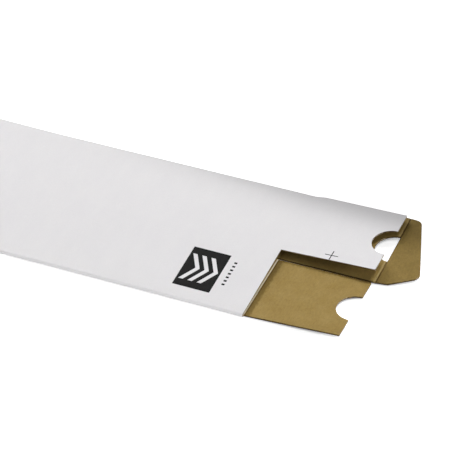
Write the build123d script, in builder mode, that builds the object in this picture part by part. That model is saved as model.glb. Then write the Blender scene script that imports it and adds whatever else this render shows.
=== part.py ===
from build123d import *
import os
from math import atan, atan2, cos, radians, sin

# One sheet of corrugated board, folded and glued into a square mailing tube for rolled plans,
# lying pressed flat with its end flaps spread. +X runs along the tube to the end that the
# photograph shows, +Y is towards the back fold and +Z is up. The origin is under the middle.

# Board
board = 1.7

# Tube, measured from fold to fold
body_length = 610.0
wide_panel = 108.5
narrow_panel = 103.5
fold_height = 3.8
middle_ridge = 6.3
mouth_height = 8.0
mouth_setback = 0.6

# Glued seam under the middle of the tube
tab_width = 32.0
tab_ramp = 5.0
tab_setback = 12.0
seam_gap = 1.2

# Flap outlines
dust_flap_clearance = 2.0
dust_flap_inset = 2.3
side_inset = 0.5
lower_side_inset = 2.5
thumb_radius = 20.75
flap_corner = 1.5
closure_allowance = 6.5
tuck_shoulder = 13.0
tuck_depth = 42.5
tuck_point = 20.5
tuck_taper = 1.2
tuck_corner = 8.5

# How far the ends have sprung out of flat
upper_flap_lift = 3.0
lower_lift_front = 4.8
lower_lift_middle = 1.5
closure_lift_front = 1.2
closure_lift_back = 7.0

# Creases
crease_gap = 0.2
score_radius = 0.8
score_depth = 0.3

# Places worked out from the sizes above
half_length = body_length / 2
half_width = (wide_panel + narrow_panel) / 2
crease_offset = (wide_panel - narrow_panel) / 2
outer_side = half_width - side_inset
lower_side = half_width - lower_side_inset
inner_side = crease_offset + dust_flap_inset
flap_width = outer_side - inner_side
notch_middle = half_width / 2
dust_flap_length = wide_panel - dust_flap_clearance
flap_end = half_length + dust_flap_length
front_bend = half_width - fold_height / 2
mouth_bend = half_width - mouth_height / 2
lower_crease_end = min(front_bend, lower_side)
cove_radius = board + crease_gap
closure_length = narrow_panel + closure_allowance
closure_end = half_length + closure_length
closure_width = outer_side + crease_offset
closure_tilt = atan2(closure_lift_back - closure_lift_front, closure_width)
closure_slope = atan((closure_lift_front + closure_lift_back) / 2 / closure_length)
crease_length = closure_width / cos(closure_tilt)
moon_middle = (notch_middle + crease_offset) / cos(closure_tilt)
moon_start = moon_middle - thumb_radius
moon_end = moon_middle + thumb_radius
through = 2 * (mouth_height + closure_lift_back)

# Faces of the flaps, X out from the crease and Y along it, and the lines that they crease on
upper_lift = radians(upper_flap_lift)
upper_out = Vector(cos(upper_lift), 0, sin(upper_lift))
upper_face = Plane((half_length, 0, mouth_height), upper_out, upper_out.cross(Vector(0, 1, 0)))
upper_crease = Plane((half_length, 0, mouth_height), upper_out, (0, -1, 0))
lower_crease = Plane((half_length, 0, board), (1, 0, 0), (0, -1, 0))
tuck_out = Vector(cos(closure_slope), 0, sin(closure_slope))
tuck_along = Vector(0, cos(closure_tilt), sin(closure_tilt))
tuck_origin = Vector(closure_end, -crease_offset, board + closure_lift_front)
tuck_face = Plane(tuck_origin, tuck_out, tuck_out.cross(tuck_along))
tuck_crease = Plane(tuck_origin, tuck_out, -tuck_along)


# Half disc under a crease line: the board's outer face rolling round the crease
def rolled_edge(radius):
    Circle(radius)
    Rectangle(2 * radius, radius, align=(Align.CENTER, Align.MIN), mode=Mode.SUBTRACT)


# Closure panel: the back lower panel runs on past the mouth, with a half-moon finger hole
with BuildPart() as closure:
    for x, front, back in (
        (half_length, 0, 0),
        (closure_end, closure_lift_front, closure_lift_back),
    ):
        with BuildSketch(Plane.YZ.offset(x)):
            with BuildLine():
                Polyline(
                    (-crease_offset, front),
                    (outer_side, back),
                    (outer_side, back + board),
                    (-crease_offset, front + board),
                    close=True,
                )
            make_face()
    loft(ruled=True)
    with Locations((closure_end, notch_middle, 0)):
        Cylinder(thumb_radius, through, mode=Mode.SUBTRACT)
    for start, end in ((-board, moon_start), (moon_end, crease_length + board)):
        with BuildSketch(tuck_crease.offset(-start)):
            Circle(cove_radius)
        extrude(amount=start - end, mode=Mode.SUBTRACT)

# Sleeve: the four panels and the glued tab, made as one half and mirrored, with its closures
with BuildPart() as sleeve:
    # Flattened tube, then its hollow one board further in
    for inset, mode in ((0, Mode.ADD), (board, Mode.SUBTRACT)):
        for x, ridge, back in ((0, middle_ridge, fold_height), (half_length, mouth_height, mouth_height)):
            back_bend = half_width - back / 2
            with BuildSketch(Plane.YZ.offset(x)):
                with BuildLine():
                    Polyline(
                        (-front_bend, fold_height - inset),
                        (crease_offset, ridge - inset),
                        (back_bend, back - inset),
                    )
                    ThreePointArc(
                        (back_bend, back - inset), (half_width - inset, back / 2), (back_bend, inset)
                    )
                    Line((back_bend, inset), (-front_bend, inset))
                    ThreePointArc(
                        (-front_bend, inset),
                        (inset - half_width, fold_height / 2),
                        (-front_bend, fold_height - inset),
                    )
                make_face()
        loft(ruled=True, mode=mode)

    # The front top panel has no flap, and its edge stops just short of the crease below it
    with Locations((half_length, inner_side, fold_height / 2)):
        Box(
            2 * mouth_setback,
            2 * half_width,
            through,
            align=(Align.CENTER, Align.MAX, Align.MIN),
            mode=Mode.SUBTRACT,
        )

    # Seam on the underside, closed by the tab glued inside
    with Locations((0, -crease_offset, 0)):
        Box(body_length, seam_gap, board, align=(Align.CENTER, Align.MAX, Align.MIN), mode=Mode.SUBTRACT)
    with BuildSketch(Plane.YZ):
        with BuildLine():
            Polyline(
                (-crease_offset - tab_width, board),
                (-crease_offset - tab_width, 2 * board),
                (-crease_offset, 2 * board),
                (-crease_offset + tab_ramp, board),
                close=True,
            )
        make_face()
    extrude(amount=half_length - tab_setback)

    # Closure panel, with the score line where it folds up
    add(closure.part)
    with BuildSketch(lower_crease.offset(-mouth_bend)):
        with Locations((0, score_radius - score_depth)):
            Circle(score_radius)
    extrude(amount=mouth_bend + crease_offset, mode=Mode.SUBTRACT)

    # Coves that the dust flaps' creases roll in
    for crease, start, length in (
        (upper_crease, -mouth_bend, mouth_bend - inner_side),
        (lower_crease, inner_side, front_bend - inner_side),
    ):
        with BuildSketch(crease.offset(start)):
            rolled_edge(cove_radius)
        extrude(amount=length, mode=Mode.SUBTRACT)

    mirror(about=Plane.YZ)

# Upper dust flap: the back top panel's flap, white side up, with a thumb notch in its end
with BuildPart() as upper_dust_flap:
    with BuildSketch(upper_face) as outline:
        with Locations((0, inner_side)):
            Rectangle(dust_flap_length, flap_width, align=(Align.MIN, Align.MIN))
        fillet(outline.vertices().group_by(Axis.X)[-1], flap_corner)
        with Locations((dust_flap_length, notch_middle)):
            Circle(thumb_radius, mode=Mode.SUBTRACT)
    extrude(amount=-board)
    with BuildSketch(upper_crease.offset(crease_gap - mouth_bend)):
        rolled_edge(board)
    extrude(amount=mouth_bend - inner_side - 2 * crease_gap)

# Lower dust flap: the front lower panel's flap, brown side up, sprung up more at its front edge
with BuildPart() as lower_dust_flap:
    for x, front, middle in (
        (half_length, 0, 0),
        (flap_end, lower_lift_front, lower_lift_middle),
    ):
        with BuildSketch(Plane.YZ.offset(x)):
            with BuildLine():
                Polyline(
                    (-lower_side, front),
                    (-inner_side, middle),
                    (-inner_side, middle + board),
                    (-lower_side, front + board),
                    close=True,
                )
            make_face()
    loft(ruled=True)
    fillet(lower_dust_flap.edges().filter_by(Axis.Z).group_by(Axis.X)[-1], flap_corner)
    with Locations((flap_end, -notch_middle, 0)):
        Cylinder(thumb_radius, through, mode=Mode.SUBTRACT)
    with BuildSketch(lower_crease.offset(inner_side + crease_gap)):
        rolled_edge(board)
    extrude(amount=lower_crease_end - inner_side - 2 * crease_gap)

# Tuck flap: slanted tongue on the closure panel's end, creased on the finger hole's flat side
with BuildPart() as tuck_flap:
    with BuildSketch(tuck_face) as tongue:
        with BuildLine():
            Polyline(
                (0, 0),
                (tuck_shoulder, tuck_taper),
                (tuck_depth, tuck_point),
                (tuck_shoulder, crease_length - tuck_taper),
                (0, crease_length),
                close=True,
            )
        make_face()
        rounded = tongue.vertices().group_by(Axis.X)
        fillet(rounded[-1] + [rounded[1].sort_by(Axis.Y)[-1]], tuck_corner)
    extrude(amount=-board)
    for start, end in ((0, moon_start - crease_gap), (moon_end + crease_gap, crease_length)):
        with BuildSketch(tuck_crease.offset(-start)):
            rolled_edge(board)
        extrude(amount=start - end)

# The far end has the same three flaps, the other way round
with BuildPart() as far_upper_dust_flap:
    add(mirror(upper_dust_flap.part, about=Plane.YZ))

with BuildPart() as far_lower_dust_flap:
    add(mirror(lower_dust_flap.part, about=Plane.YZ))

with BuildPart() as far_tuck_flap:
    add(mirror(tuck_flap.part, about=Plane.YZ))

# One STEP file for each piece
sleeve.part.label = "sleeve"
upper_dust_flap.part.label = "upper_dust_flap"
lower_dust_flap.part.label = "lower_dust_flap"
tuck_flap.part.label = "tuck_flap"
far_upper_dust_flap.part.label = "far_upper_dust_flap"
far_lower_dust_flap.part.label = "far_lower_dust_flap"
far_tuck_flap.part.label = "far_tuck_flap"

os.makedirs("parts", exist_ok=True)
export_step(sleeve.part, "parts/sleeve.step")
export_step(upper_dust_flap.part, "parts/upper_dust_flap.step")
export_step(lower_dust_flap.part, "parts/lower_dust_flap.step")
export_step(tuck_flap.part, "parts/tuck_flap.step")
export_step(far_upper_dust_flap.part, "parts/far_upper_dust_flap.step")
export_step(far_lower_dust_flap.part, "parts/far_lower_dust_flap.step")
export_step(far_tuck_flap.part, "parts/far_tuck_flap.step")
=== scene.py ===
from itertools import accumulate
from math import asin, atan2, ceil, cos, floor, pi, radians, sin, sqrt

import bmesh
import bpy
from mathutils import Matrix, Vector


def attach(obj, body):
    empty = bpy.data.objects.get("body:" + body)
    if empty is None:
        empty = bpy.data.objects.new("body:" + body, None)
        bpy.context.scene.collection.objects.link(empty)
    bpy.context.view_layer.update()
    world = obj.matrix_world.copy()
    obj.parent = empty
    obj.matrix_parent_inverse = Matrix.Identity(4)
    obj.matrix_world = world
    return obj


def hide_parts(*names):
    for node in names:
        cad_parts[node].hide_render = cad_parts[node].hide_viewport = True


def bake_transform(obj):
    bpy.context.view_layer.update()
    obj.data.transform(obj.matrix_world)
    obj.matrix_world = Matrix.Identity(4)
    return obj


# A square mailing tube of corrugated board, pressed flat, with its end flaps spread. The board is
# modelled as it is made: two liners with a fluted sheet between them, cut from one flat blank.
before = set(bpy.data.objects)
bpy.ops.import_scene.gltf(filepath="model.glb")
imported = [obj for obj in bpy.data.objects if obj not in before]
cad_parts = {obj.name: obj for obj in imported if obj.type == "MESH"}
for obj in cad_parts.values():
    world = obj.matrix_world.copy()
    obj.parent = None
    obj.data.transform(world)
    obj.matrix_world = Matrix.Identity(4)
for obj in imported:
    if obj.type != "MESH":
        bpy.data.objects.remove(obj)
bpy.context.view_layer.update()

MM = 0.001

# Board, in millimetres of depth from the white outer face to the brown inner face
BOARD = 1.7
LINER = 0.26

# Fluted sheet, which just clears the liners so that each of the three is a closed mesh
FLUTE_PITCH = 3.3
FLUTE_SHEET = 0.2
FLUTE_CLEARANCE = 0.002

# Pressed creases, and the rim along the cut edges: crushed fibres in a dark tone that is also painted
# shade
CRUSH_DEPTH = 0.42
CRUSH_REACH = 0.85
RIM_WIDTH = 0.8
RIM_PROUD = 0.03

# Tube, in millimetres
HALF_LENGTH = 305.0
FRONT_HEIGHT = 3.8
MIDDLE_RIDGE = 6.3
MOUTH_HEIGHT = 8.0
HALF_WIDTH = 106.0
FRONT_BEND = HALF_WIDTH - FRONT_HEIGHT / 2
MOUTH_BEND = HALF_WIDTH - MOUTH_HEIGHT / 2
CREASE_Y = 2.5
SEAM_GAP = 1.2
MOUTH_SETBACK = 0.6

# Glue tab under the seam
TAB_WIDTH = 32.0
TAB_RAMP = 5.0
TAB_CORNER = 9.0
TAB_SETBACK = 12.0
GLUE = 0.02

# Flaps, in millimetres
INNER_SIDE = 4.8
OUTER_SIDE = 105.5
LOWER_SIDE = 103.5
DUST_LENGTH = 106.5
NOTCH_RADIUS = 20.75
NOTCH_MIDDLE = HALF_WIDTH / 2
FLAP_CORNER = 1.5
CLOSURE_LENGTH = 110.0
CLOSURE_END = HALF_LENGTH + CLOSURE_LENGTH
CLOSURE_WIDTH = OUTER_SIDE + CREASE_Y
TUCK_SHOULDER = 13.0
TUCK_DEPTH = 42.45
TUCK_POINT = 20.5
TUCK_TAPER = 1.2
TUCK_CORNER = 8.5

# How far the flaps have sprung up: one slope, and lifts of an end at its front and back sides
UPPER_LIFT = radians(3.0)
LOWER_LIFTS = (4.8, 1.5)
CLOSURE_LIFTS = (1.2, 7.0)
CLOSURE_TILT = atan2(CLOSURE_LIFTS[1] - CLOSURE_LIFTS[0], CLOSURE_WIDTH)
CREASE_LENGTH = CLOSURE_WIDTH / cos(CLOSURE_TILT)

# Half the width of each crease that bends, and the stretches past the mouth in which the back
# fold's curve flattens and the upper flap's cut edge leans over, in millimetres
DUST_CREASE = 1.4
TUCK_CREASE = 0.9
FLATTEN = 14.0
LEAN_OVER = 3.0

# Cells of the meshes, the gaps that loose cuts keep from needed ones, and how near to a cut a
# corner counts as on it, in millimetres
PANEL_STEP, PANEL_GAP = 5.0, 0.5
LENGTH_STEP, LENGTH_GAP = 61.0, 2.0
LEAST_GAP = 0.02
ON_CUT = 0.001
DUST_CUTS = [-1, -0.6, -0.25, 0, 0.25, 0.6, 1, 1.8, 3, 5, 7.5, 10, FLATTEN]
TUCK_CUTS = [-0.5, 0, 0.3, 0.6, 0.9, 1.2, 1.8, 3]

# Steps of each wave, fold and rounded cut, and the angle from which an edge is sharp
FLUTE_STEPS = 10
FOLD_STEPS = 14
HOLE_STEPS = 24
NOTCH_STEPS = 28
CORNER_STEPS = 6
SHARP_EDGE = radians(32.0)

# Places of the board's materials: white outside, brown inside, the cut ends across the flutes in a pale
# tone that is painted highlight, the fluted sheet and the cuts along it in a dark tone that is painted
# shade, and the rim
OUTSIDE, INSIDE, HIGHLIT_CUT_ENDS, SHADED_FLUTES, RIM = range(5)

# Camera, fitted to the edges in the photograph: millimetres, and degrees
CAMERA_PLACE = (1521.3, -3120.7, 2759.3)
CAMERA_DIP = 39.16
CAMERA_HEADING = 22.114
CAMERA_LENS = 311.337


def lerp(a, b, t):
    return a + (b - a) * t


def clamp(t):
    return min(1.0, max(0.0, t))


def smooth(t):
    """A share that starts and ends gently."""
    t = clamp(t)
    return t * t * (3 - 2 * t)


def add_camera():
    data = bpy.data.cameras.new("camera")
    data.sensor_width = 36.0
    data.lens = CAMERA_LENS
    data.clip_start = 0.1
    data.clip_end = 50.0
    camera = bpy.data.objects.new("camera", data)
    camera.location = Vector(CAMERA_PLACE) * MM
    camera.rotation_euler = (radians(90.0 - CAMERA_DIP), 0.0, radians(CAMERA_HEADING))
    bpy.context.collection.objects.link(camera)
    bpy.context.scene.camera = camera


add_camera()

# Section of the tube: its outer face in six stretches, from the seam round to the closure side
STRETCHES = {
    "lower_front": FRONT_BEND - CREASE_Y - SEAM_GAP,
    "front_fold": pi * FRONT_HEIGHT / 2,
    "upper_front": FRONT_BEND + CREASE_Y,
    "upper_back": MOUTH_BEND - CREASE_Y,
    "back_fold": pi * MOUTH_HEIGHT / 2,
    "lower_back": MOUTH_BEND + CREASE_Y,
}
*starts, GIRTH = accumulate(STRETCHES.values(), initial=0.0)
STARTS = dict(zip(STRETCHES, starts))


def section(x):
    """Heights of the middle crease and of the back fold at a place along the tube."""
    share = clamp(abs(x) / HALF_LENGTH)
    return lerp(MIDDLE_RIDGE, MOUTH_HEIGHT, share), lerp(FRONT_HEIGHT, MOUTH_HEIGHT, share)


def around(bend, height, side, turn, depth):
    """A point on a fold of a given height, turned up from below, at a depth under its face."""
    radius = height / 2 - depth
    return side * (bend + radius * sin(turn)), height / 2 - radius * cos(turn)


def closure_lift(x, y):
    """How far the closure panel has sprung up at a place past the mouth."""
    share = max(0.0, abs(x) - HALF_LENGTH) / CLOSURE_LENGTH
    return share * lerp(*CLOSURE_LIFTS, (y + CREASE_Y) / CLOSURE_WIDTH)


def closure_side(x, along, depth):
    """Past the mouth the closure panel's side flattens out of the back fold's curve."""
    rest = STARTS["lower_back"] - along
    flat_y = MOUTH_BEND + rest
    flat_z = depth + closure_lift(x, flat_y)
    curved_y, curved_z = around(MOUTH_BEND, MOUTH_HEIGHT, 1, rest / (MOUTH_HEIGHT / 2), depth)
    ease = smooth((abs(x) - HALF_LENGTH) / FLATTEN)
    return lerp(curved_y, flat_y, ease), lerp(curved_z, flat_z, ease)


def place_sleeve(x, along, depth):
    """Folds the blank into the pressed tube: along runs round the outer face, from the seam."""
    ridge, back = section(x)
    back_bend = HALF_WIDTH - back / 2
    name = next(n for n in reversed(STARTS) if along >= STARTS[n] or n == "lower_front")
    share = (along - STARTS[name]) / STRETCHES[name]
    if name == "lower_front":
        return x, lerp(-CREASE_Y - SEAM_GAP, -FRONT_BEND, share), depth
    if name == "front_fold":
        return (x, *around(FRONT_BEND, FRONT_HEIGHT, -1, pi * share, depth))
    if name == "upper_front":
        return x, lerp(-FRONT_BEND, CREASE_Y, share), lerp(FRONT_HEIGHT, ridge, share) - depth
    if name == "upper_back":
        return x, lerp(CREASE_Y, back_bend, share), lerp(ridge, back, share) - depth
    if name == "back_fold" and abs(x) > HALF_LENGTH:
        return (x, *closure_side(x, along, depth))
    if name == "back_fold":
        return (x, *around(back_bend, back, 1, pi * (1 - share), depth))
    y = lerp(back_bend, -CREASE_Y, share)
    return x, y, depth + closure_lift(x, y)


def arc(centre, radius, start, end, steps):
    """Points of an arc about a centre, from one angle to another in degrees."""
    turns = [radians(lerp(start, end, i / steps)) for i in range(steps + 1)]
    return [(centre[0] + radius * cos(t), centre[1] + radius * sin(t)) for t in turns]


def multiples(places, step):
    """Every multiple of a step between the first and the last of some places."""
    return [i * step for i in range(ceil(min(places) / step), floor(max(places) / step) + 1)]


def spaced(needed, loose, gap):
    """Cuts in order: all the needed ones, and the loose ones that stand clear of them."""
    kept = sorted(set(round(n, 5) for n in needed))
    return sorted(kept + [w for w in set(loose) if all(abs(w - k) > gap for k in kept)])


def geometry(faces):
    """Faces with their edges and corners, in a steady order."""
    edges = dict.fromkeys(e for f in faces for e in f.edges)
    corners = dict.fromkeys(v for f in faces for v in f.verts)
    return faces + list(edges) + list(corners)


def split(bm, sheet, axis, cut):
    """Cuts a flat sheet along a line, and gives its faces before the line and past it."""
    line = Vector((0, 0, 0))
    line[axis] = 1
    whole = geometry(sheet)
    made = bmesh.ops.bisect_plane(bm, geom=whole, dist=ON_CUT, plane_co=line * cut, plane_no=line)
    faces = [g for g in made["geom"] if isinstance(g, bmesh.types.BMFace)]
    before = [f for f in faces if f.calc_center_median()[axis] < cut]
    return before, [f for f in faces if f.calc_center_median()[axis] >= cut]


def add_sheet(bm, outline, across, along, depth):
    """A flat sheet of the blank, in millimetres, cut to its outline and divided into cells."""
    sheet = [bm.faces.new([bm.verts.new((u, v, depth)) for u, v in outline])]
    edges = list(zip(outline, outline[1:] + outline[:1]))
    for axis, cuts in ((1, along), (0, across)):
        steps = [a[axis] for a, b in edges if abs(a[axis] - b[axis]) < ON_CUT]
        low, high = min(p[axis] for p in outline), max(p[axis] for p in outline)
        cut_off = []
        for cut in spaced(steps, cuts, LEAST_GAP):
            if low < cut < high:
                before, sheet = split(bm, sheet, axis, cut)
                cut_off += before
        sheet = cut_off + sheet
    return sheet


def thicken(bm, sheet, thickness):
    """Gives a flat sheet its thickness, towards the brown side."""
    made = bmesh.ops.extrude_face_region(bm, geom=sheet, use_keep_orig=True)
    top = [g for g in made["geom"] if isinstance(g, bmesh.types.BMVert)]
    bmesh.ops.translate(bm, verts=top, vec=(0, 0, thickness))


def cut_material(face):
    """A cut across the flutes gets the pale tone, a painted highlight, and a cut along them gets the dark
    tone, painted shade.
    """
    return HIGHLIT_CUT_ENDS if abs(face.normal.x) > abs(face.normal.y) else SHADED_FLUTES


def add_liner(bm, outline, across, along, low, high, coated):
    """One flat liner between two depths, cut from the outline, coated white or bare."""
    earlier = set(bm.faces)
    thicken(bm, add_sheet(bm, outline, across, along, low), high - low)
    for face in bm.faces:
        if face in earlier:
            continue
        face.normal_update()
        if abs(face.normal.z) < 0.5:
            face.material_index = cut_material(face)
        elif coated and face.calc_center_median().z < (low + high) / 2:
            face.material_index = OUTSIDE
        else:
            face.material_index = INSIDE


def add_flutes(bm, outline, across, along):
    """The fluted sheet between the liners. Its waves run along the tube."""
    earlier = set(bm.faces)
    waves = multiples([v for _, v in outline], FLUTE_PITCH / FLUTE_STEPS)
    sheet = add_sheet(bm, outline, across, spaced(along, waves, LEAST_GAP), 0.0)
    swing = (BOARD - 2 * LINER - FLUTE_SHEET) / 2 - FLUTE_CLEARANCE
    for vert in dict.fromkeys(v for f in sheet for v in f.verts):
        wave = swing * cos(2 * pi * vert.co.y / FLUTE_PITCH)
        vert.co.z = BOARD / 2 - FLUTE_SHEET / 2 + wave
    thicken(bm, sheet, FLUTE_SHEET)
    for face in bm.faces:
        if face not in earlier:
            face.normal_update()
            face.material_index = cut_material(face)


def add_rim(bm, outline, across):
    """A dark margin along the cut edges, but not along the crease, laid just proud of the inner face:
    crushed fibres in a dark tone that is also painted shade.
    """
    face = bm.faces.new([bm.verts.new((u, v, BOARD)) for u, v in outline])
    made = bmesh.ops.inset_region(bm, faces=[face], thickness=RIM_WIDTH, use_even_offset=True)
    bmesh.ops.delete(bm, geom=[face], context="FACES_ONLY")
    low = min(u for u, _ in outline) + RIM_WIDTH + ON_CUT
    at_crease = [f for f in made["faces"] if all(v.co.x < low for v in f.verts)]
    ring = [f for f in made["faces"] if f not in at_crease]
    bmesh.ops.delete(bm, geom=at_crease, context="FACES_ONLY")
    for cut in across:
        ring = sum(split(bm, ring, 0, cut), [])
    earlier = set(bm.faces) - set(ring)
    thicken(bm, ring, RIM_PROUD)
    for face in bm.faces:
        if face not in earlier:
            face.material_index = RIM


def crushed(depth, distance):
    """Depth of a point of the board near a pressed crease, where its inner side is pushed in."""
    push = CRUSH_DEPTH / (1 + (distance / CRUSH_REACH) ** 4)
    return depth - push * clamp(depth / BOARD)


def finished(bm, name, materials):
    """Makes an object of the scene from a mesh in metres."""
    mesh = bpy.data.meshes.new(name)
    bm.to_mesh(mesh)
    bm.free()
    for material in materials:
        mesh.materials.append(material)
    piece = bpy.data.objects.new(name, mesh)
    bpy.context.collection.objects.link(piece)
    return piece


def add_board(name, body, outline, across, along, place, creases, inner, rim=False):
    """A piece of the board, cut flat, fluted, creased and then folded to its place."""
    bm = bmesh.new()
    fine = spaced(along, multiples([v for _, v in outline], PANEL_STEP), PANEL_GAP)
    wide = spaced(across, multiples([u for u, _ in outline], LENGTH_STEP), LENGTH_GAP)
    add_flutes(bm, outline, across, along)
    add_liner(bm, outline, wide, fine, 0.0, LINER, True)
    add_liner(bm, outline, wide, fine, BOARD - LINER, BOARD, False)
    if rim:
        add_rim(bm, outline, across)
    blank = bm.loops.layers.uv.new("blank")
    for face in bm.faces:
        for loop in face.loops:
            loop[blank].uv = (loop.vert.co.x * MM, loop.vert.co.y * MM)
    for vert in bm.verts:
        u, v, depth = vert.co
        for crease in creases:
            depth = crushed(depth, u - crease)
        vert.co = Vector(place(u, v, depth)) * MM
    bmesh.ops.triangulate(bm, faces=[f for f in bm.faces if len(f.verts) > 4])
    bmesh.ops.recalc_face_normals(bm, faces=bm.faces[:])
    # The cut edge material paints a highlight, and the fluted sheet and the rim paint shade
    piece = finished(bm, name, (WHITE_LINER, inner, HIGHLIT_CUT_EDGE, SHADED_FLUTED_SHEET, RIM_SHADE_LINER))
    piece.data.shade_smooth()
    piece.data.set_sharp_from_angle(angle=SHARP_EDGE)
    if body:
        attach(piece, body)
    return piece


class Graph:
    """A material's nodes, made and joined by short calls."""

    def __init__(self, name):
        self.material = bpy.data.materials.new(name)
        self.material.use_nodes = True
        self.tree = self.material.node_tree
        self.shader = self.tree.nodes["Principled BSDF"]

    def node(self, kind, inputs=(), **settings):
        made = self.tree.nodes.new(kind)
        for key, value in settings.items():
            setattr(made, key, value)
        for key, value in dict(inputs).items():
            if isinstance(value, bpy.types.NodeSocket):
                self.tree.links.new(value, made.inputs[key])
            else:
                made.inputs[key].default_value = value
        return made

    def noise(self, coordinates, scale, detail=3.0, roughness=0.6, stretch=(1, 1, 1)):
        mapped = self.node("ShaderNodeMapping", {"Vector": coordinates, "Scale": stretch})
        settings = {"Vector": mapped.outputs[0], "Scale": scale, "Detail": detail, "Roughness": roughness}
        return self.node("ShaderNodeTexNoise", settings).outputs["Fac"]

    def ramp(self, value, low, high, to_low, to_high):
        settings = {"Value": value, 1: low, 2: high, 3: to_low, 4: to_high}
        return self.node("ShaderNodeMapRange", settings).outputs[0]

    def vary(self, noise, least, most):
        """A number that follows a noise, over the middle of the noise's range."""
        return self.ramp(noise, 0.3, 0.7, least, most)

    def mix(self, factor, first, second, blend="MIX"):
        made = self.node("ShaderNodeMix", data_type="RGBA", blend_type=blend)
        for index, value in ((0, factor), (6, first), (7, second)):
            if isinstance(value, bpy.types.NodeSocket):
                self.tree.links.new(value, made.inputs[index])
            else:
                made.inputs[index].default_value = value
        return made.outputs[2]

    def maths(self, operation, first, second=0.0):
        made = self.node("ShaderNodeMath", {0: first, 1: second}, operation=operation)
        return made.outputs[0]

    def ribs(self, across):
        """The flutes that show through a liner as low ribs."""
        return self.maths("COSINE", self.maths("MULTIPLY", across, 2 * pi / (FLUTE_PITCH * MM)))

    def bump(self, height, distance):
        made = self.node("ShaderNodeBump", {"Height": height, "Distance": distance, "Strength": 1.0})
        self.tree.links.new(made.outputs[0], self.shader.inputs["Normal"])

    def surface(self, colour, roughness):
        self.tree.links.new(colour, self.shader.inputs["Base Color"])
        self.tree.links.new(roughness, self.shader.inputs["Roughness"])

    def gloss(self, level):
        self.shader.inputs["Specular IOR Level"].default_value = level


def white_liner(tones):
    """Clay-coated white liner: faint fibre clouds, and the flutes showing through as low ribs."""
    graph = Graph("white_liner")
    blank = graph.node("ShaderNodeUVMap", uv_map="blank").outputs[0]
    place = graph.node("ShaderNodeTexCoord").outputs["Object"]
    clouds = graph.noise(blank, 60.0, 4.0, 0.65, (1.0, 0.4, 1.0))
    fibres = graph.noise(place, 1400.0, 3.0, 0.7, (0.6, 1.0, 1.0))
    tone = graph.mix(graph.vary(clouds, 0.0, 1.0), *tones)
    speck = graph.ramp(fibres, 0.35, 0.65, 0.975, 1.02)
    graph.surface(graph.mix(1.0, tone, speck, "MULTIPLY"), graph.vary(clouds, 0.74, 0.84))
    ribs = graph.ribs(graph.node("ShaderNodeSeparateXYZ", {0: blank}).outputs[1])
    ribs, fibres = graph.maths("MULTIPLY", ribs, 0.3), graph.maths("MULTIPLY", fibres, 0.5)
    graph.bump(graph.maths("ADD", ribs, fibres), 0.00003)
    graph.gloss(0.12)
    return graph.material


def brown_liner(name, tones, lines):
    """Bare kraft liner: mottled fibres in clouds and short streaks across the tube.

    Each line is (axis, middle, half width, tone), in millimetres of the blank, along a crease or a cut.
    Pale lines are rubbed fibres and painted highlight, dark lines painted shade and painted shadow. Axis
    0 runs along the tube, 1 across.
    """
    graph = Graph(name)
    blank = graph.node("ShaderNodeUVMap", uv_map="blank").outputs[0]
    place = graph.node("ShaderNodeTexCoord").outputs["Object"]
    out, across = graph.node("ShaderNodeSeparateXYZ", {0: blank}).outputs[:2]
    clouds = graph.noise(blank, 45.0, 4.0, 0.6)
    mottle = graph.noise(blank, 420.0, 4.0, 0.7, (1.0, 0.45, 1.0))
    fibres = graph.noise(place, 1800.0, 3.0, 0.75, (1.0, 0.35, 1.0))
    tone = graph.mix(graph.ramp(clouds, 0.32, 0.68, 0.0, 1.0), *tones)
    for axis, middle, half, shade in lines:
        away = graph.maths("ABSOLUTE", graph.maths("SUBTRACT", (out, across)[axis], middle * MM))
        ragged = graph.maths("MULTIPLY", away, graph.vary(mottle, 0.7, 1.3))
        tone = graph.mix(graph.ramp(ragged, half * MM * 0.5, half * MM, 0.85, 0.0), tone, shade)
    tone = graph.mix(1.0, tone, graph.vary(mottle, 0.88, 1.12), "MULTIPLY")
    colour = graph.mix(1.0, tone, graph.vary(fibres, 0.88, 1.12), "MULTIPLY")
    graph.surface(colour, graph.vary(mottle, 0.72, 0.86))
    graph.bump(graph.maths("ADD", graph.maths("MULTIPLY", graph.ribs(across), 0.35), fibres), 0.00004)
    graph.gloss(0.12)
    return graph.material


def raw_paper(name, tones):
    """Raw paper, rough and fibrous, in a pair of tones: pale ones paint a highlight on the cut ends, and
    dark ones paint shade down in the flutes.
    """
    graph = Graph(name)
    place = graph.node("ShaderNodeTexCoord").outputs["Object"]
    mottle = graph.noise(place, 500.0, 3.0, 0.7)
    fibres = graph.noise(place, 2600.0, 2.0, 0.7)
    tone = graph.mix(graph.vary(mottle, 0.0, 1.0), *tones)
    colour = graph.mix(1.0, tone, graph.vary(fibres, 0.85, 1.15), "MULTIPLY")
    graph.surface(colour, graph.vary(fibres, 0.8, 0.95))
    graph.bump(fibres, 0.00006)
    return graph.material


def printing(name, tones, roughness, gloss):
    """Print on the coated liner, a little uneven in its tone and its gloss."""
    graph = Graph(name)
    place = graph.node("ShaderNodeTexCoord").outputs["Object"]
    grain = graph.noise(place, 900.0, 3.0, 0.7)
    graph.surface(graph.mix(graph.vary(grain, 0.0, 1.0), *tones), graph.vary(grain, *roughness))
    graph.bump(grain, 0.00001)
    graph.gloss(gloss)
    return graph.material


# Darkest and lightest tone of each paper and of the printing
WHITE = (0.765, 0.752, 0.765, 1), (0.785, 0.772, 0.78, 1)
KRAFT = (0.305, 0.204, 0.058, 1), (0.35, 0.242, 0.077, 1)
# The tuck flap's kraft is the board's own kraft made darker: painted shade
SHADED_TUCK_KRAFT = (0.235, 0.158, 0.043, 1), (0.285, 0.195, 0.056, 1)
# The rim's dark kraft: crushed fibres, and painted shade along the cut edges
RIM_SHADE_KRAFT = (0.085, 0.054, 0.014, 1), (0.12, 0.08, 0.024, 1)
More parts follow.
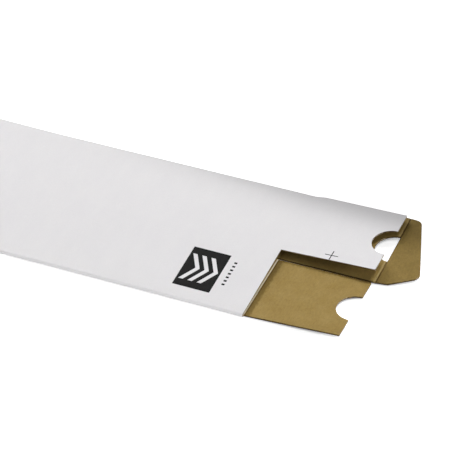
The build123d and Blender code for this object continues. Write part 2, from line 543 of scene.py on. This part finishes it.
# Painted highlight: a pale tone for the cut ends
CUT_HIGHLIGHT = (0.56, 0.48, 0.36, 1), (0.7, 0.61, 0.47, 1)
# Painted shade: a dark tone for the fluted sheet and the cuts along the flutes
FLUTE_SHADE = (0.065, 0.04, 0.011, 1), (0.11, 0.07, 0.022, 1)
INK = (0.006, 0.006, 0.006, 1), (0.016, 0.015, 0.015, 1)
UNPRINTED = (0.74, 0.73, 0.74, 1), (0.79, 0.78, 0.79, 1)

# Tones painted along the creases and cuts of the kraft, and the lines where they lie: pale lines of
# rubbed and worn fibres that are also painted highlights, dark lines of painted shade in the creases, and
# bands of painted shadow
RUBBED_AND_HIGHLIT, CREASE_SHADE = (0.41, 0.305, 0.125, 1), (0.1, 0.062, 0.017, 1)
WORN_AND_HIGHLIT, PAINTED_SHADOW = (0.78, 0.68, 0.51, 1), (0.2, 0.13, 0.034, 1)
# Pale lines beside the tuck creases: rubbed fibres, and a painted highlight on the creases' shoulders
TUCK_RIDGE_HIGHLIGHTS = [(0, side * (CLOSURE_END - 1.9), 1.0, RUBBED_AND_HIGHLIT) for side in (1, -1)]
# Painted shade: a dark line in the tuck crease's groove
TUCK_CREASE_SHADE = [(0, 0.0, 0.9, CREASE_SHADE)]
FLAP_SHADE_AND_HIGHLIGHT_LINES = [
    # Bands of painted shadow: along the flap's inner side by the slit, and past its crease beside the
    # mouth
    (1, -INNER_SIDE, 4.4, PAINTED_SHADOW),
    (0, 2.8, 5.2, PAINTED_SHADOW),
    # A dark line of painted shade in the crease
    (0, 1.3, 0.5, CREASE_SHADE),
    # A pale line on the crease: worn fibres, and a painted highlight
    (0, -0.5, 0.85, WORN_AND_HIGHLIT),
]

WHITE_LINER = white_liner(WHITE)
# Painted light in these materials: highlights on the brown liner's tuck ridges and the cut edges, and
# shade, shadow and a highlight on the flap liner, with shade on the tuck liner, the rim and the fluted
# sheet
BROWN_LINER = brown_liner("brown_liner", KRAFT, TUCK_RIDGE_HIGHLIGHTS)
SHADED_FLAP_LINER = brown_liner("flap_liner_painted_shade", KRAFT, FLAP_SHADE_AND_HIGHLIGHT_LINES)
SHADED_TUCK_LINER = brown_liner("tuck_liner_painted_shade", SHADED_TUCK_KRAFT, TUCK_CREASE_SHADE)
RIM_SHADE_LINER = brown_liner("rim_painted_shade", RIM_SHADE_KRAFT, [])
HIGHLIT_CUT_EDGE = raw_paper("cut_edge_painted_highlight", CUT_HIGHLIGHT)
SHADED_FLUTED_SHEET = raw_paper("fluted_sheet_painted_shade", FLUTE_SHADE)
BLACK_INK = printing("black_ink", INK, (0.7, 0.8), 0.08)
WHITE_PRINT = printing("white_print", UNPRINTED, (0.74, 0.84), 0.12)


def sleeve_outline():
    """Near half of the sleeve's blank: four panels, and the closure with its finger hole."""
    mouth = HALF_LENGTH
    front_crease = STARTS["front_fold"] + STRETCHES["front_fold"] / 2
    inner_cut = STARTS["upper_back"] + INNER_SIDE - CREASE_Y
    upper_cut = STARTS["back_fold"] + OUTER_SIDE - MOUTH_BEND
    back_crease = STARTS["back_fold"] + STRETCHES["back_fold"] / 2
    closure_cut = STARTS["lower_back"] - (OUTER_SIDE - MOUTH_BEND)
    lower_inner = INNER_SIDE - CREASE_Y - SEAM_GAP
    lower_outer = LOWER_SIDE - CREASE_Y - SEAM_GAP
    dust_start = mouth - DUST_CREASE
    tuck_start = CLOSURE_END - TUCK_CREASE
    hole_middle = GIRTH - NOTCH_MIDDLE - CREASE_Y
    half_hole = sqrt(NOTCH_RADIUS**2 - TUCK_CREASE**2)
    reach = asin(half_hole / NOTCH_RADIUS) * 180 / pi
    hole = arc((CLOSURE_END, hole_middle), NOTCH_RADIUS, 180 + reach, 180 - reach, HOLE_STEPS)
    return [
        (mouth, 0.0),
        (mouth, lower_inner),
        (dust_start, lower_inner),
        (dust_start, lower_outer),
        (mouth, lower_outer),
        (mouth, front_crease),
        (mouth - MOUTH_SETBACK, front_crease),
        (mouth - MOUTH_SETBACK, inner_cut),
        (dust_start, inner_cut),
        (dust_start, upper_cut),
        (mouth, upper_cut),
        (mouth, back_crease),
        (mouth, closure_cut),
        (tuck_start, closure_cut),
        *hole,
        (tuck_start, GIRTH),
    ]


def add_sleeve():
    near = [HALF_LENGTH - s for s in (0.4, 0.9, 1.8, 3)]
    near += [HALF_LENGTH + s for s in (0, 0.4, 0.9, 1.8, 2.5, 5, 7.5, 10, FLATTEN)]
    near += [CLOSURE_END - s for s in (1.2, 1.8, 3)]
    across = sorted(near + [-u for u in near] + [0.0])
    along = [STARTS[n] for n in list(STARTS)[1:]]
    for fold in ("front_fold", "back_fold"):
        along += [STARTS[fold] + STRETCHES[fold] * i / FOLD_STEPS for i in range(1, FOLD_STEPS)]
    half = sleeve_outline()
    blank = half + [(-u, v) for u, v in reversed(half)]
    creases = (HALF_LENGTH, -HALF_LENGTH, CLOSURE_END, -CLOSURE_END)
    along.sort()
    piece = add_board("sleeve_board", "sleeve", blank, across, along, place_sleeve, creases, BROWN_LINER)
    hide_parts("sleeve")


def place_tab(x, along, depth):
    """The tab rises out of the back lower panel and lies glued on the front one."""
    share = clamp(along / TAB_RAMP)
    return x, TAB_RAMP - CREASE_Y - along, lerp((BOARD + depth) / 2, BOARD + GLUE + depth, share)


def add_glue_tab():
    reach = TAB_WIDTH + TAB_RAMP
    long = HALF_LENGTH - TAB_SETBACK
    short = long - TAB_CORNER
    half = [(long, 0.0), (long, TAB_RAMP), (short, reach)]
    blank = half + [(-u, v) for u, v in reversed(half)]
    add_board("glue_tab", "sleeve", blank, [], [1.5, 3.5], place_tab, (), BROWN_LINER)


def rounded(points, radii):
    """An outline in millimetres with some of its corners rounded."""
    made = []
    for i, (point, radius) in enumerate(zip(points, radii)):
        if not radius:
            made.append(point)
            continue
        corner = Vector(point)
        before = (Vector(points[i - 1]) - corner).normalized()
        after = (Vector(points[(i + 1) % len(points)]) - corner).normalized()
        half = before.angle(after) / 2
        centre = corner + (before + after).normalized() * radius / sin(half)
        start = corner + before * radius / (sin(half) / cos(half)) - centre
        turn = pi - 2 * half
        spin = 1 if start.to_3d().cross((corner - centre).to_3d()).z > 0 else -1
        for k in range(CORNER_STEPS + 1):
            angle = spin * turn * k / CORNER_STEPS
            x = start.x * cos(angle) - start.y * sin(angle)
            y = start.x * sin(angle) + start.y * cos(angle)
            made.append((centre.x + x, centre.y + y))
    return made


def upper_flap_place(sign):
    """Places the upper dust flap: out from its crease, and y across the tube."""

    def place(out, y, depth):
        ease = smooth(out / FLATTEN)
        reach = max(0.0, out)
        level = (y, MOUTH_HEIGHT - depth)
        if y > MOUTH_BEND and ease < 1:
            turn = pi - (y - MOUTH_BEND) / (MOUTH_HEIGHT / 2)
            curved = around(MOUTH_BEND, MOUTH_HEIGHT, 1, turn, depth)
            level = (lerp(curved[0], level[0], ease), lerp(curved[1], level[1], ease))
        x = HALF_LENGTH + min(0.0, out) + reach * cos(UPPER_LIFT)
        x += depth * sin(UPPER_LIFT) * clamp(out / LEAN_OVER)
        return sign * x, level[0], level[1] + reach * sin(UPPER_LIFT)

    return place


def lower_flap_place(sign):
    """Places the lower dust flap, which has sprung up more at its front side."""

    def place(out, y, depth):
        share = max(0.0, out) / DUST_LENGTH
        lift = share * lerp(*LOWER_LIFTS, (y + LOWER_SIDE) / (LOWER_SIDE - INNER_SIDE))
        return sign * (HALF_LENGTH + out), y, depth + lift

    return place


def tuck_axes():
    """Where the near tuck flap's crease starts, and the directions out from it and along it."""
    slope = atan2(sum(CLOSURE_LIFTS) / 2, CLOSURE_LENGTH)
    origin = Vector((CLOSURE_END, -CREASE_Y, BOARD + CLOSURE_LIFTS[0]))
    outward = Vector((cos(slope), 0, sin(slope)))
    return origin, outward, Vector((0, cos(CLOSURE_TILT), sin(CLOSURE_TILT)))


def tuck_place(sign):
    """Places the tuck flap: out from its crease, and wide along the crease."""
    origin, outward, sideways = tuck_axes()
    up = outward.cross(sideways).normalized()

    def place(out, wide, depth):
        point = origin + outward * out + sideways * wide + up * (depth - BOARD)
        if out < 0:
            x = CLOSURE_END + out
            y = lerp(-CREASE_Y, OUTER_SIDE, wide / CREASE_LENGTH)
            point = Vector((x, y, depth + closure_lift(x, y)))
        return sign * point.x, point.y, point.z

    return place


def notched_outline(inner, outer, middle):
    """A dust flap with a thumb notch in its end."""
    notch = arc((DUST_LENGTH, middle), NOTCH_RADIUS, 270, 90, NOTCH_STEPS)
    shape = rounded(
        [(-DUST_CREASE, inner), (DUST_LENGTH, inner), (DUST_LENGTH, middle), (DUST_LENGTH, outer)],
        [0, FLAP_CORNER, 0, FLAP_CORNER],
    )
    tip = shape.index((DUST_LENGTH, middle))
    return shape[:tip] + notch + shape[tip + 1 :] + [(-DUST_CREASE, outer)]


def mirrored_name(name, sign):
    return name if sign > 0 else "far_" + name


def bend(piece, node, body, sign, crease, outward, half):
    """Bakes the flap's placing into its mesh and hides the part that it stands for."""
    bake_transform(piece)
    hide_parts(node)


def add_upper_dust_flap(sign):
    outline = notched_outline(INNER_SIDE, OUTER_SIDE, NOTCH_MIDDLE)
    side = [MOUTH_BEND + s for s in (0, 0.7, 1.4, 2.1, 2.8)]
    node = mirrored_name("upper_dust_flap", sign)
    place = upper_flap_place(sign)
    piece = add_board(node + "_board", None, outline, DUST_CUTS, side, place, (0.0,), BROWN_LINER)
    crease = Vector((HALF_LENGTH, 0, MOUTH_HEIGHT))
    bend(piece, node, "upper_flap", sign, crease, Vector((1, 0, 0)), DUST_CREASE)


def add_lower_dust_flap(sign):
    outline = [(u, -v) for u, v in notched_outline(INNER_SIDE, LOWER_SIDE, NOTCH_MIDDLE)]
    across = DUST_CUTS + [20, 40, 60, 80, 100]
    side = [-LOWER_SIDE + 10 * i for i in range(1, 10)]
    node = mirrored_name("lower_dust_flap", sign)
    place = lower_flap_place(sign)
    piece = add_board(node + "_board", None, outline, across, side, place, (0.0,), SHADED_FLAP_LINER, True)
    crease = Vector((HALF_LENGTH, 0, BOARD))
    bend(piece, node, "lower_flap", sign, crease, Vector((1, 0, 0)), DUST_CREASE)


def add_tuck_flap(sign):
    middle = (NOTCH_MIDDLE + CREASE_Y) / cos(CLOSURE_TILT)
    hole_start, hole_end = middle - NOTCH_RADIUS, middle + NOTCH_RADIUS
    points = [
        (-TUCK_CREASE, 0),
        (TUCK_SHOULDER, TUCK_TAPER),
        (TUCK_DEPTH, TUCK_POINT),
        (TUCK_SHOULDER, CREASE_LENGTH - TUCK_TAPER),
        (-TUCK_CREASE, CREASE_LENGTH),
        (-TUCK_CREASE, hole_end),
        (0, hole_end),
        (0, hole_start),
        (-TUCK_CREASE, hole_start),
    ]
    outline = rounded(points, [0, 0, TUCK_CORNER, TUCK_CORNER, 0, 0, 0, 0, 0])
    node = mirrored_name("tuck_flap", sign)
    place = tuck_place(sign)
    piece = add_board(node + "_board", None, outline, TUCK_CUTS, [], place, (0.0,), SHADED_TUCK_LINER, True)
    origin, outward, sideways = tuck_axes()
    outward = (outward - sideways * outward.dot(sideways)).normalized()
    bend(piece, node, "tuck", sign, origin, outward, TUCK_CREASE)


add_sleeve()
add_glue_tab()
for sign in (1, -1):
    add_upper_dust_flap(sign)
    add_lower_dust_flap(sign)
    add_tuck_flap(sign)


# Printing on the white face: a black panel with plain shapes, a row of ticks and a register cross
PRINT_DEPTH = 0.05
INK_PROUD = 0.03
CHEVRON_PROUD = 0.06
PANEL_X, PANEL_Y = 237.6, -55.1
PANEL_LENGTH, PANEL_WIDTH = 42.5, 63.3
CHEVRON_PITCH, CHEVRON_POINT = 10.5, 11.0
TICKS_X, TICKS_Y, TICK_PITCH = PANEL_X + 30.0, PANEL_Y + 4.0, 6.0
MARK_X, MARK_Y, MARK_LINE = 359.0, 12.6, 1.05


def panel_face(x, y):
    """Height of the front top panel."""
    ridge, _ = section(x)
    return lerp(FRONT_HEIGHT, ridge, (y + FRONT_BEND) / STRETCHES["upper_front"])


def flap_face(x, y):
    """Height of the near upper dust flap."""
    return MOUTH_HEIGHT + (x - HALF_LENGTH) * sin(UPPER_LIFT) / cos(UPPER_LIFT)


def add_print(name, body, bars, face, material, proud=INK_PROUD):
    """Printed bars (x, y, length, width, point) in millimetres, drawn to a point in the middle."""
    bm = bmesh.new()
    for x, y, length, width, point in bars:
        cells = ceil(length / PANEL_STEP), 2 * ceil(width / PANEL_STEP / 2)
        made = bmesh.ops.create_grid(bm, x_segments=cells[0], y_segments=cells[1], size=0.5)
        bmesh.ops.scale(bm, verts=made["verts"], vec=(length, width, 1.0))
        for vert in made["verts"]:
            vert.co.x += point * (0.5 - abs(vert.co.y) * 2 / width)
        bmesh.ops.translate(bm, verts=made["verts"], vec=(x, y, proud))
        thicken(bm, list(dict.fromkeys(f for v in made["verts"] for f in v.link_faces)), -PRINT_DEPTH)
    bmesh.ops.recalc_face_normals(bm, faces=bm.faces[:])
    for vert in bm.verts:
        x, y, height = vert.co
        vert.co = Vector((x, y, face(x, y) + height)) * MM
    piece = finished(bm, name, [material])
    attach(piece, body)


panel = [(PANEL_X, PANEL_Y, PANEL_LENGTH, PANEL_WIDTH, 0)]
chevrons = [(PANEL_X + CHEVRON_PITCH * i, PANEL_Y, 5.0, 42.0, CHEVRON_POINT) for i in (-1, 0, 1)]
ticks = [(TICKS_X, TICKS_Y + TICK_PITCH * i, 3.4, 2.6, 0) for i in range(-3, 4)]
cross = [(MARK_X, MARK_Y, MARK_LINE, 15.0, 0), (MARK_X, MARK_Y, 14.8, MARK_LINE, 0)]
add_print("printed_panel", "sleeve", panel, panel_face, BLACK_INK)
add_print("printed_chevrons", "sleeve", chevrons, panel_face, WHITE_PRINT, CHEVRON_PROUD)
add_print("printed_ticks", "sleeve", ticks, panel_face, BLACK_INK)
add_print("register_mark", "upper_flap", cross, flap_face, BLACK_INK)


# Floor, white surround and lamps, in metres
FLOOR_HALF = 12.0
FLOOR_DEPTH = 0.0003


def add_floor():
    """A pale floor, which the camera sees as white wherever the space just above it is open."""
    graph = Graph("floor")
    output = graph.tree.nodes["Material Output"]
    graph.shader.inputs["Base Color"].default_value = (0.86, 0.86, 0.86, 1)
    graph.shader.inputs["Roughness"].default_value = 0.9
    openness = graph.node("ShaderNodeAmbientOcclusion", {"Distance": 0.012}, samples=8).outputs["AO"]
    strength = graph.ramp(openness, 0.2, 0.38, 0.0, 0.8)
    glow = graph.node("ShaderNodeEmission", {"Color": (1, 1, 1, 1), "Strength": strength})
    both = graph.node("ShaderNodeAddShader", {0: graph.shader.outputs[0], 1: glow.outputs[0]})
    seen = graph.node("ShaderNodeLightPath").outputs["Is Camera Ray"]
    shown = graph.node("ShaderNodeMixShader", {0: seen, 1: graph.shader.outputs[0], 2: both.outputs[0]})
    graph.tree.links.new(shown.outputs[0], output.inputs[0])
    bm = bmesh.new()
    bmesh.ops.create_grid(bm, x_segments=1, y_segments=1, size=FLOOR_HALF)
    bmesh.ops.translate(bm, verts=bm.verts[:], vec=(0, 0, -FLOOR_DEPTH))
    finished(bm, "floor", [graph.material])


def add_world():
    """A white surround to the camera, and a dim one to the object."""
    world = bpy.data.worlds.new("studio")
    bpy.context.scene.world = world
    world.use_nodes = True
    nodes, links = world.node_tree.nodes, world.node_tree.links
    soft = nodes["Background"]
    soft.inputs["Color"].default_value = (1, 1, 1, 1)
    soft.inputs["Strength"].default_value = 0.13
    bright = nodes.new("ShaderNodeBackground")
    bright.inputs["Color"].default_value = (1, 1, 1, 1)
    bright.inputs["Strength"].default_value = 1.0
    seen = nodes.new("ShaderNodeLightPath").outputs["Is Camera Ray"]
    mixed = nodes.new("ShaderNodeMixShader")
    links.new(seen, mixed.inputs[0])
    links.new(soft.outputs[0], mixed.inputs[1])
    links.new(bright.outputs[0], mixed.inputs[2])
    links.new(mixed.outputs[0], nodes["World Output"].inputs[0])


def add_lamp(name, size, watts):
    """A flat lamp, still at the origin and shining down."""
    data = bpy.data.lights.new(name, "AREA")
    data.shape = "RECTANGLE"
    data.size, data.size_y = size
    data.energy = watts
    lamp = bpy.data.objects.new(name, data)
    bpy.context.collection.objects.link(lamp)
    return lamp


def add_softbox(name, place, aim, size, watts):
    lamp = add_lamp(name, size, watts)
    lamp.location = place
    lamp.rotation_euler = (Vector(aim) - Vector(place)).to_track_quat("-Z", "Y").to_euler()


def add_pool(name, edge, direction, distance, size, spread, watts):
    """A gridded panel lamp whose pool of light ends at a line across the far side of the tube."""
    lamp = add_lamp(name, size, watts)
    lamp.data.spread = radians(spread)
    lamp.visible_camera = False
    start, end = (Vector((x, y, MOUTH_HEIGHT * MM)) for x, y in edge)
    out = Vector(direction).normalized()
    side = (end - start) - out * (end - start).dot(out)
    side.normalize()
    away = out.cross(side)
    centre = (start + end) / 2 + out * distance - away * size[1] / 2
    turn = Matrix((side, away, out)).transposed().to_4x4()
    lamp.matrix_world = Matrix.Translation(centre) @ turn


add_floor()
add_world()
add_softbox("back_left_light", place=(-3.6, 3.4, 2.15), aim=(0.3, 0, 0), size=(2.0, 2.0), watts=225.0)
add_pool(
    "pool",
    edge=((0.2, 0.106), (0.4, 0.072)),
    direction=(0.17, 0.98, 0.85),
    distance=0.13,
    size=(2.0, 0.4),
    spread=22.0,
    watts=1.7,
)
add_softbox("front_card", place=(0.2, -2.4, 0.22), aim=(0.15, 0, 0), size=(2.4, 0.35), watts=40.0)
add_softbox("end_card", place=(2.7, 0.35, 0.6), aim=(0.35, 0, 0), size=(0.9, 0.5), watts=26.0)
bpy.context.scene.view_settings.view_transform = "Standard"
